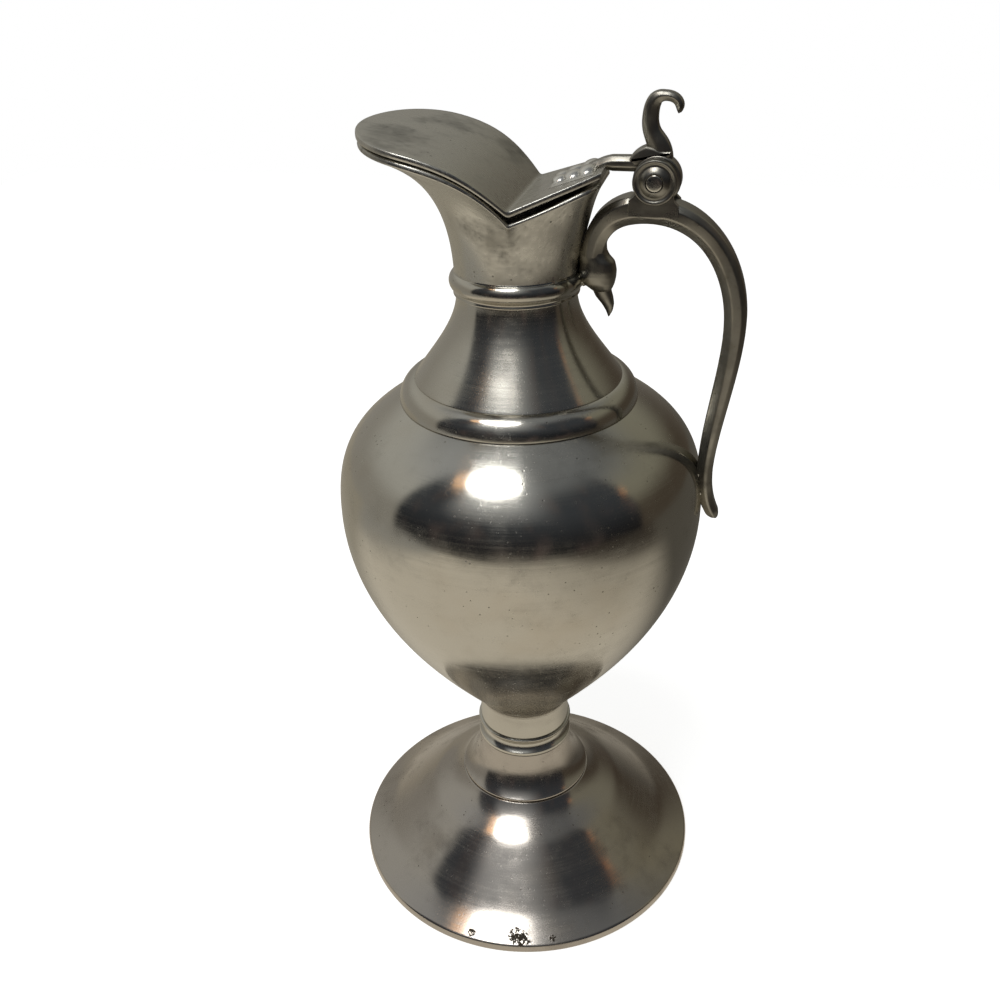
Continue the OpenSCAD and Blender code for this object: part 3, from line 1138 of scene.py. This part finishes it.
@dataclass
class Lid:
    """The folded lid with its fan, strap, knuckle and thumbpiece."""

    line: LidLine
    hinge: HingeSizes

    def plate(self) -> Piece:
        """Makes the folded plate with rounded edges.

        Returns:
            The plate.
        """
        line, lift, bend = self.line, self.line.lift, 0.6
        before, after = line.vee_x - bend, line.vee_x + bend
        front = line.tip + (before - line.tip) * (1 - np.cos(np.linspace(0.0, pi / 2, 90)))
        rows = []
        for x in np.r_[front, np.linspace(before, after, 9)[1:-1], np.linspace(after, line.back_x, 36)]:
            wide, top = max(line.half(x), 0.02), line.top(x)
            e = min(0.28, 0.8 * wide)
            turns = np.linspace(0, pi, 11)
            side = [(wide - e + e * sin(a), lift / 2 * (cos(a) - 1)) for a in turns]
            span = np.linspace(e - wide, wide - e, 33)[1:-1]
            loop = [(v, 0.0) for v in span] + side + [(v, -lift) for v in span[::-1]]
            loop += [(-v, h) for v, h in side[::-1]]
            rows.append([(x, v, top + h) for v, h in loop])
        return Skin.grid("lid_plate_look", np.array(rows), ring_rows=False, capped=True, sharp=60.0)

    def leaf(self) -> Piece:
        """Makes the fan on the lid: a low roof with three pairs of swelling lobes and a low end bar.

        Each lobe is (place along, half length, place off the middle, half width, height).

        Returns:
            The fan.
        """
        line, start, end = self.line, 5.75, 14.45
        lobes = ((7.3, 1.45, 1.7, 1.9, 0.75), (9.9, 1.7, 2.1, 2.3, 0.9), (12.7, 1.65, 2.5, 2.7, 0.95),
                 (14.2, 0.2, 0.0, 6.2, 0.45))
        across = np.linspace(-1.0, 1.0, 81)
        rows = []
        for x in np.r_[np.linspace(start, 6.1, 6), np.linspace(6.2, 14.3, 100), np.linspace(14.32, end, 4)]:
            ends = min(1.0, sqrt((x - start + 0.01) / 0.5), sqrt((end + 0.01 - x) / 0.2))
            wide = 5.2 + 1.8 * (x - start) / (end - start)
            y = wide * across
            high = 0.06 + 0.36 * (1.0 - np.abs(across) ** 2.2)
            swell = 0.0
            for at, half, off, deep, tall in lobes:
                inside = 1.0 - ((x - at) / half) ** 2 - ((np.abs(y) - off) / deep) ** 2
                swell = np.maximum(swell, tall * np.sqrt(np.maximum(inside, 0.0)))
            high += swell
            under = [(x, wide * v, -0.02) for v in np.linspace(1.0, -1.0, 31)]
            rows.append([(x, v, ends * u) for v, u in zip(y, high)] + under)
        leaf = Skin.grid("lid_leaf_look", np.array(rows), ring_rows=False, capped=True, sharp=70.0)
        seat = Matrix.Translation(Vector((line.vee_x, 0, line.vee_z)) * MM)
        leaf.data.transform(seat @ Matrix.Rotation(-radians(line.slope), 4, "Y"))
        return leaf

    def strap(self) -> Piece:
        """Makes the arm and the knuckle as one casting.

        Returns:
            The strap.
        """
        h, level = self.hinge, 2.6
        path = Line.chain(Curve((-12.0, 1.7), (-10.6, 2.1), (-9.4, level), (-7.8, level)).points(18),
                          [(x, level) for x in np.linspace(-7.4, -3.4, 11)])

        def bar(_: int, t: float) -> list[Pt]:
            """Returns the loop of the arm, thicker toward the knuckle."""
            thin = float(np.interp(t, [0.0, 0.3, 0.62, 1.0], [0.7, 1.0, 1.38, 1.42]))
            return Section.bevelled(thin, thin, 1.6, 0.9)

        arm = Skin.sweep("arm", Line.moved(path, (h.x, h.z)), bar)
        w, b = h.knuckle_w / 2, h.pin_r + h.play
        loop = Line.soften([(b, -w), (h.knuckle_r, -w), (h.knuckle_r, w), (b, w)], 0.55)
        knuckle = Skin.spun("knuckle", Line.refine(loop, 1.0), (h.x, h.z), 96, h.knuckle_off)
        return Skin.join([arm, knuckle], "lid_strap_look")

    def thumb(self) -> Piece:
        """Makes the S-scroll thumbpiece with the saddle that it stands on.

        Returns:
            The thumbpiece.
        """
        pivot, crest = (self.hinge.x, self.hinge.z), 13.95
        path = Line.chain(
            Curve((0.55, 3.6), (0.55, 6.6), (-1.6, 7.0), (-1.5, 10.4)).points(30),
            Curve((-1.5, 10.4), (-1.4, 12.8), (-0.8, crest), (0.9, crest)).points(20),
            Curve((0.9, crest), (2.9, crest), (3.9, 12.62), (3.3, 11.22)).points(18))
        marks = [0.0, 0.12, 0.3, 0.44, 0.6, 0.735, 0.92, 1.0]
        widths = [2.2, 1.95, 1.55, 1.42, 1.28, 0.86, 0.76, 0.5]
        rounded = 0.95

        def bar(_: int, t: float) -> list[Pt]:
            """Draws the scroll's section, rounded off at its end.

            Args:
                t: Share of the way along.

            Returns:
                The closed loop.
            """
            wide = float(np.interp(t, marks, widths))
            if t > rounded:
                wide *= sqrt(max(1.0 - ((t - rounded) / 0.052) ** 2, 0.03))
            return Section.ridged(wide, 1.7 - 0.3 * t, 0.6)

        scroll = Skin.sweep("scroll", Line.moved(path, pivot), bar)
        loop = Line.chain(
            Curve((-5.0, 3.2), (-4.3, 4.6), (-3.3, 5.3), (-1.9, 5.8)).points(12),
            [(-0.6, 5.5), (1.3, 4.9), (2.4, 4.95), (2.55, 4.6), (2.2, 3.9), (1.7, 2.8), (-1.3, 2.6),
             (-3.9, 2.2)])
        loop = Line.refine(Line.soften(loop, 0.5), 0.6)
        saddle = Skin.slab("saddle", Line.moved(loop, pivot), 1.65, 0.6)
        return Skin.join([scroll, saddle], "thumbpiece_look")

    def build(self, shop: Workshop) -> None:
        """Makes and places the lid pieces.

        Args:
            shop: Finishes and bodies.
        """
        shop.place(self.plate(), ["lid_plate"], Body.LID, Slot.DULL)
        shop.place(self.strap(), ["lid_strap"], Body.LID, Slot.CAST)
        # The fan's pale solder finish is partly its own colour and partly a painted highlight for the light
        # on its top.
        shop.place(self.leaf(), [], Body.LID, Slot.SOLDER)
        shop.place(self.thumb(), ["thumbpiece"], Body.LID, Slot.CAST)


@dataclass
class Handle:
    """C-scroll handle with its bird head, hinge cheeks, pin and pads.

    Args:
        s: Sizes of the jug.
        hinge: Sizes of the hinge.
        bow: How far the middle line bows out past the bowl, in millimetres.
        wide: Width of the bar, in millimetres.
    """

    s: JugSizes
    hinge: HingeSizes
    bow: float = 3.67
    wide: float = 5.4

    def path(self) -> list[Pt]:
        """Draws the middle line from the bird's neck to the tail.

        Returns:
            The open run (x, z).
        """
        s, h = self.s, self.hinge
        bow_x, low_x, low_z = s.bowl_r + self.bow, s.bowl_r + 0.35, s.z_belly + 6.5
        neck, top = (s.throat_r + 3.0, s.z_cup + 3.0), (h.x - 1.3, h.z - 5.0)
        side, low, tail = (bow_x, s.z_cup - 8.0), (low_x, low_z), (low_x + 2.8, low_z - 7.8)
        return Line.chain(
            Curve(neck, (neck[0] + 0.4, s.z_cup + 8.2), (h.x - 7.9, top[1] - 0.1), top).points(26),
            Curve(top, (h.x + 8.7, top[1] + 0.3), (bow_x - 0.4, s.z_cup + 3.0), side).points(34),
            Curve(side, (bow_x + 0.4, s.z_cup - 19.0), (low_x - 0.9, low_z + 10.0), low).points(36),
            Curve(low, (low_x + 0.3, low_z - 3.0), (low_x + 1.2, low_z - 5.5), tail).points(18))

    def bar(self) -> Piece:
        """Makes the bevelled C-scroll bar, hollowed under the knuckle.

        Returns:
            The bar.
        """
        path, h = self.path(), self.hinge
        normal = Line.left(path)
        clear = h.knuckle_r + h.knuckle_off + h.gap
        arch_end, tail, tail_length = 60, 110, 4.3
        marks = [0, 10, 22, 29, 44, arch_end, 96, tail, 114]
        outside = [1.9, 2.2, 2.5, 1.75, 1.95, 2.1, 1.5, 1.3, 1.15]
        inside = [1.9, 2.2, 2.5, 2.55, 2.35, 2.1, 1.5, 1.3, 1.15]

        def section(i: int, t: float) -> list[Pt]:
            """Draws the bar's section: widened under the hinge, rounded off at the tail.

            Args:
                i: Station number.
                t: Share of the way along.

            Returns:
                The closed loop.
            """
            tip = sqrt(max(1.0 - (max(i - tail, 0) / tail_length) ** 2, 0.0))
            up, down = (tip * float(np.interp(i, marks, reach)) for reach in (outside, inside))
            away = np.array(path[i]) - (h.x, h.z)
            b = float(away @ normal[i])
            overlap = b * b - float(away @ away) + clear * clear
            if overlap > 0:
                up = min(up, -b - sqrt(overlap))
            across = tip * self.wide / 2 * float(np.interp(t, [0, 0.84, 1.0], [1.0, 0.9, 0.62]))
            if i < arch_end:
                across += (h.outer - 0.2 - across) * math.exp(-(((path[i][0] - h.x) / 9.0) ** 4))
            return Section.bevelled(max(up, 0.2), down, across, 0.95, 1.6)

        return Skin.sweep("bar", path, section)

    def bird(self) -> Piece:
        """Makes the bird's neck and head, with its beak.

        Returns:
            The head.
        """
        x, z = self.s.throat_r + 4.7, self.s.z_cup - 0.4
        head = [(-1.4, 5.8, 2.2, 2.5, 2.5), (-1.5, 4.3, 2.4, 2.9, 2.45), (-1.2, 3.3, 2.6, 3.2, 2.5),
                (-0.5, 2.2, 2.95, 3.8, 2.65), (-0.5, 0.6, 3.3, 4.0, 2.75), (-0.55, -0.6, 3.3, 3.9, 2.7),
                (-0.4, -1.9, 2.9, 3.5, 2.5), (-0.1, -2.9, 2.2, 2.3, 2.0), (0.1, -3.6, 1.5, 1.6, 1.4),
                (0.15, -3.95, 0.5, 0.5, 0.5)]
        beak = [(-0.05, -2.4, 1.85, 1.9, 1.7), (0.2, -3.4, 1.72, 1.85, 1.6), (0.6, -4.6, 1.68, 1.7, 1.35),
                (1.3, -6.0, 1.2, 1.2, 1.0), (1.65, -7.3, 0.62, 0.75, 0.6), (1.55, -8.2, 0.25, 0.3, 0.3),
                (1.5, -8.6, 0.06, 0.06, 0.06)]
        return Skin.join([self._egg("head", head, (x, z)), self._egg("beak", beak, (x, z))], "bird")

    @staticmethod
    def _egg(name: str, keys: Sequence[tuple], at: Pt) -> Piece:
        """Makes a body of oval sections.

        Args:
            name: Object name.
            keys: Rows of (x, z, reach toward +X, reach toward -X, half width).
            at: Place (x, z) that the rows are measured from.

        Returns:
            The closed, smooth object.
        """
        steps, marks = (np.linspace(0, 1, count) for count in (8 * len(keys), len(keys)))
        fine = np.stack([np.interp(steps, marks, column) for column in zip(*keys)], axis=1)
        for _ in range(5):
            fine[1:-1] = 0.25 * fine[:-2] + 0.5 * fine[1:-1] + 0.25 * fine[2:]
        rows = [[(at[0] + x + u, y, at[1] + z) for u, y in Section.oval(*sizes)] for x, z, *sizes in fine]
        return Skin.grid(name, np.array(rows), ring_rows=False, capped=True)

    def cheek(self, side: float) -> Piece:
        """Makes one hinge cheek with its raised edge and domed ring.

        Args:
            side: -1 for the near side, 1 for the far side.

        Returns:
            The turned cheek.
        """
        h = self.hinge
        face, back, eye = h.outer, h.pocket, h.pin_r + 0.12
        ring = [(eye + (h.boss_r - eye) * t, face + 0.06 + (h.boss_h - 0.1) * (1 - t**1.5))
                for t in np.linspace(0, 1, 15)]
        rim = [(3.15, face), (3.45, face + 0.22), (3.85, face + 0.22)]
        loop = Line.chain([(h.pin_r, back), (h.pin_r, face + 0.5)], ring, rim,
                          [(h.cheek_r, face - 0.15), (h.cheek_r, back)])
        loop = [(r, side * y) for r, y in Line.soften(loop, 0.22, 30.0)]
        return Skin.spun("cheek", loop, (h.x, h.z), 80)

    def root(self, side: float) -> Piece:
        """Makes the plate that carries one cheek down, flush with the widened bar.

        Args:
            side: -1 for the near side, 1 for the far side.

        Returns:
            The plate.
        """
        h = self.hinge
        rows = []
        face = h.outer - 0.16
        for t in np.linspace(0.0, 1.0, 26):
            z = h.z - 0.4 - 5.6 * t
            left = float(np.interp(t, [0.0, 0.32, 0.42, 0.52, 1.0], [3.3, 3.4, 3.8, 4.5, 4.6]))
            right = float(np.interp(t, [0.0, 0.36, 0.5, 0.64, 1.0], [3.3, 3.3, 3.5, 4.3, 4.6]))
            mid, half = side * (h.pocket + face) / 2, (face - h.pocket) / 2
            rows.append([(h.x + u, mid + v, z) for u, v in Section.bevelled(right, left, half, 0.12)])
        return Skin.grid("root", np.array(rows), ring_rows=False, capped=True)

    def pin(self) -> Piece:
        """Makes the rivet with lightly domed ends.

        Returns:
            The pin.
        """
        h = self.hinge
        end = h.outer + h.boss_h + 0.1
        half = [(0.0, end), (0.6, end - 0.01), (1.1, end - 0.035), (1.32, end - 0.07), (1.43, end - 0.14),
                (h.pin_r, end - 0.26)]
        loop = [(r, -y) for r, y in half] + half[::-1]
        return Skin.spun("hinge_pin_look", loop, (h.x, h.z), 64)

    def build(self, shop: Workshop) -> None:
        """Makes and places the handle, the pin and the pads.

        Args:
            shop: Finishes and bodies.
        """
        parts = [self.bar(), self.bird()]
        for side in (-1.0, 1.0):
            parts += [self.cheek(side), self.root(side)]
        shop.place(Skin.join(parts, "handle_look"), ["handle"], Body.JUG, Slot.CAST)
        shop.place(self.pin(), ["hinge_pin"], Body.JUG, Slot.BRIGHT)
        drop = [(-0.2, 1.0, 0.3, 0.3, 0.3), (0.0, 0.6, 1.0, 1.0, 1.2), (0.0, -0.4, 1.15, 1.2, 1.5),
                (-0.2, -1.1, 0.8, 0.9, 1.1), (-0.3, -1.5, 0.2, 0.2, 0.25)]
        pad = self._egg("upper_pad_look", drop, (self.s.throat_r + 1.6, self.s.z_cup - 1.7))
        shop.place(pad, ["upper_pad"], Body.JUG, Slot.SOLDER)
        shop.dress("lower_pad", Slot.SOLDER, 0.25)


@dataclass(frozen=True)
class Shot:
    """Camera of the photograph, in millimetres and degrees."""

    place: tuple[float, float, float] = (42.8, -191.46, 203.99)
    yaw: float = -13.893
    pitch: float = 29.254
    roll: float = -1.705
    lens: float = 37.8

    def build(self) -> None:
        """Adds the camera."""
        y, p, r = (radians(v) for v in (self.yaw, self.pitch, self.roll))
        ahead = Vector((sin(y) * cos(p), cos(y) * cos(p), -sin(p)))
        flat = Vector((cos(y), -sin(y), 0.0))
        lift = flat.cross(ahead)
        right = cos(r) * flat + sin(r) * lift
        up = -sin(r) * flat + cos(r) * lift
        data = bpy.data.cameras.new("camera")
        data.sensor_width = 36.0
        data.lens = self.lens
        data.clip_start = 0.01
        cam = bpy.data.objects.new("camera", data)
        turn = Matrix((right, up, -ahead)).transposed().to_4x4()
        cam.matrix_world = Matrix.Translation(Vector(self.place) * MM) @ turn
        bpy.context.scene.collection.objects.link(cam)
        bpy.context.scene.camera = cam


@dataclass
class Studio:
    """Pale floor, soft surroundings and lamps.

    Args:
        middle: Height of the middle of the jug, in metres.
        lamp_far: Distance of the lamps from there, in metres.
    """

    middle: float = 0.1
    lamp_far: float = 0.96

    @staticmethod
    def _split(g: Graph, mirrored: Sock, seen: Sock, out: str) -> None:
        """Shows one shader to the camera and another to all other rays.

        Args:
            g: Graph of the floor or the world.
            mirrored: Shader for the other rays.
            seen: Shader for the camera.
            out: Type of the output node.
        """
        eye = g.node("ShaderNodeLightPath", {}, {}, "Is Camera Ray")
        both = g.node("ShaderNodeMixShader", {}, {0: eye, 1: mirrored, 2: seen})
        g.node(out, {}, {"Surface": both})

    def floor(self) -> None:
        """Adds the pale table top: white to the camera, and to other rays a glowing sheet of painted light,
        warm in front of the jug, with painted shade at the sides and a painted shadow behind it.
        """
        half, near, far = 0.62, -0.36, 0.72
        verts = [(-half, near, 0.0), (half, near, 0.0), (half, far, 0.0), (-half, far, 0.0)]
        obj = Skin.mesh("floor", verts, [(0, 1, 2, 3)], CRISP)
        mat = bpy.data.materials.new("pale_floor")
        mat.use_nodes = True
        g = Graph(mat.node_tree)
        x, y, _ = g.parts(g.node("ShaderNodeTexCoord", {}, {}, "Object"))
        # Painted light seen only in reflections: a painted pool of light in front of the jug, painted shade
        # to the sides and the jug's painted shadow behind it, all given off as emission.
        middle = g.mix(x.ramp(0.02, 0.16), rgb(0.66, 0.605, 0.51), rgb(0.47, 0.43, 0.36))
        painted_shade_aside = g.mix(x.ramp(0.2, -0.2), rgb(0.05, 0.042, 0.034), rgb(0.33, 0.32, 0.295))
        behind = g.mix(x.ramp(0.1, -0.1), rgb(0.10, 0.092, 0.078), rgb(0.36, 0.33, 0.27))
        front = g.mix(g.math("ABSOLUTE", x).ramp(0.17, 0.27), middle, painted_shade_aside)
        glow = g.mix(y.ramp(-0.01, 0.07), front, behind)
        mirrored = g.node("ShaderNodeEmission", {}, {"Color": glow, "Strength": 1.0})
        matte = g.node("ShaderNodeBsdfDiffuse", {}, {"Color": rgb(0.95, 0.95, 0.945)})
        white = g.node("ShaderNodeEmission", {}, {"Color": WHITE, "Strength": 0.75})
        seen = g.node("ShaderNodeAddShader", {}, {0: matte, 1: white})
        self._split(g, mirrored, seen, "ShaderNodeOutputMaterial")
        obj.data.materials.append(mat)

    def world(self) -> None:
        """Adds the surroundings: pale walls, a dark opening in front, and white to the camera."""
        world = bpy.data.worlds.new("studio")
        bpy.context.scene.world = world
        world.use_nodes = True
        g = Graph(world.node_tree)
        x, y, z = g.parts(g.node("ShaderNodeTexCoord", {}, {}, "Generated"))
        turn = g.math("ARCTAN2", x, 0.0 - y)

        def sector(start: float, full: float, fall: float, end: float) -> Sock:
            """Masks a soft sector, in degrees from the front toward the handle.

            Args:
                start: Where it begins.
                full: Where it is whole.
                fall: Where it begins to fade.
                end: Where it ends.

            Returns:
                The mask.
            """
            up, down = turn.ramp(radians(start), radians(full)), turn.ramp(radians(end), radians(fall))
            return up * down

        left, high = x.ramp(0.55, -0.75), z.ramp(0.12, 0.5)
        right_wall = g.mix(high, rgb(0.075, 0.06, 0.045), rgb(0.25, 0.24, 0.19))
        left_wall = g.mix(high, rgb(0.32, 0.305, 0.275), rgb(0.48, 0.475, 0.445))
        ceiling = g.mix(left, rgb(0.20, 0.21, 0.22), rgb(0.42, 0.43, 0.44))
        shell = g.mix(z.ramp(0.55, 0.9), g.mix(left, right_wall, left_wall), ceiling)
        shell = g.mix(y.ramp(0.02, 0.4) * z.ramp(0.7, 0.85) * 0.45, shell, rgb(0.05, 0.05, 0.05))
        gloom = g.mix(z.ramp(-0.2, 0.6), rgb(0.010, 0.010, 0.012), rgb(0.05, 0.056, 0.066))
        shapes = g.noise(g.vector(turn * 2.2, z * 1.3, 0.0), 1.6, 3.0, 0.55).ramp(0.5, 0.72)
        gloom = g.mix(shapes * 0.75, gloom, rgb(0.105, 0.078, 0.072))
        opening = sector(-71, -65, 85, 91) * z.ramp(0.95, 0.74)
        glow = sector(-48, -28, 0, 46) * z.ramp(0.35, 0.85) * 0.55
        room = g.mix(glow, g.mix(opening, shell, gloom), rgb(0.84, 0.86, 0.88))
        mirrored = g.node("ShaderNodeBackground", {}, {"Color": room, "Strength": 1.0})
        seen = g.node("ShaderNodeBackground", {}, {"Color": WHITE, "Strength": 1.0})
        self._split(g, mirrored, seen, "ShaderNodeOutputWorld")

    def lamp(self, name: str, turn: float, climb: float, wide: float, tall: float, power: float,
             colour: tuple[float, float, float]) -> None:
        """Adds a soft oval lamp aimed at the jug.

        Args:
            name: Lamp name.
            turn: Degrees from the front toward the handle.
            climb: Degrees over the horizon.
            wide: Width in metres.
            tall: Height in metres.
            power: Power in watts.
            colour: Light colour.
        """
        a, e = radians(turn), radians(climb)
        aim = Vector((0.0, 0.0, self.middle))
        away = Vector((sin(a) * cos(e), -cos(a) * cos(e), sin(e)))
        data = bpy.data.lights.new(name, "AREA")
        data.shape = "ELLIPSE"
        data.size = wide
        data.size_y = tall
        data.energy = power
        data.color = colour
        obj = bpy.data.objects.new(name, data)
        obj.location = aim + self.lamp_far * away
        obj.rotation_euler = (-away).to_track_quat("-Z", "Y").to_euler()
        bpy.context.scene.collection.objects.link(obj)

    def build(self) -> None:
        """Adds everything around the jug."""
        self.floor()
        self.world()
        self.lamp("high_lamp", turn=-19.0, climb=66.5, wide=0.46, tall=0.41,
                  power=2.7, colour=(1.0, 1.0, 1.0))
        self.lamp("warm_lamp", turn=-50.0, climb=60.0, wide=0.14, tall=0.18,
                  power=0.10, colour=(1.0, 0.55, 0.25))
        self.lamp("side_lamp", turn=86.0, climb=32.0, wide=0.10, tall=0.12,
                  power=0.01, colour=(1.0, 0.42, 0.15))
        bpy.context.scene.view_settings.view_transform = "Standard"
        LOG.info("studio ready")


def main() -> None:
    """Builds the creamer and its studio."""
    logging.basicConfig(level=logging.INFO)
    sizes, hinge = JugSizes(), HingeSizes()
    shop = Workshop()
    line = LidLine(sizes)
    TurnedStack(sizes).build(shop)
    SpoutCup(sizes, line).build(shop)
    Lid(line, hinge).build(shop)
    Handle(sizes, hinge).build(shop)
    Studio().build()
    Shot().build()


if __name__ == "__main__":
    main()
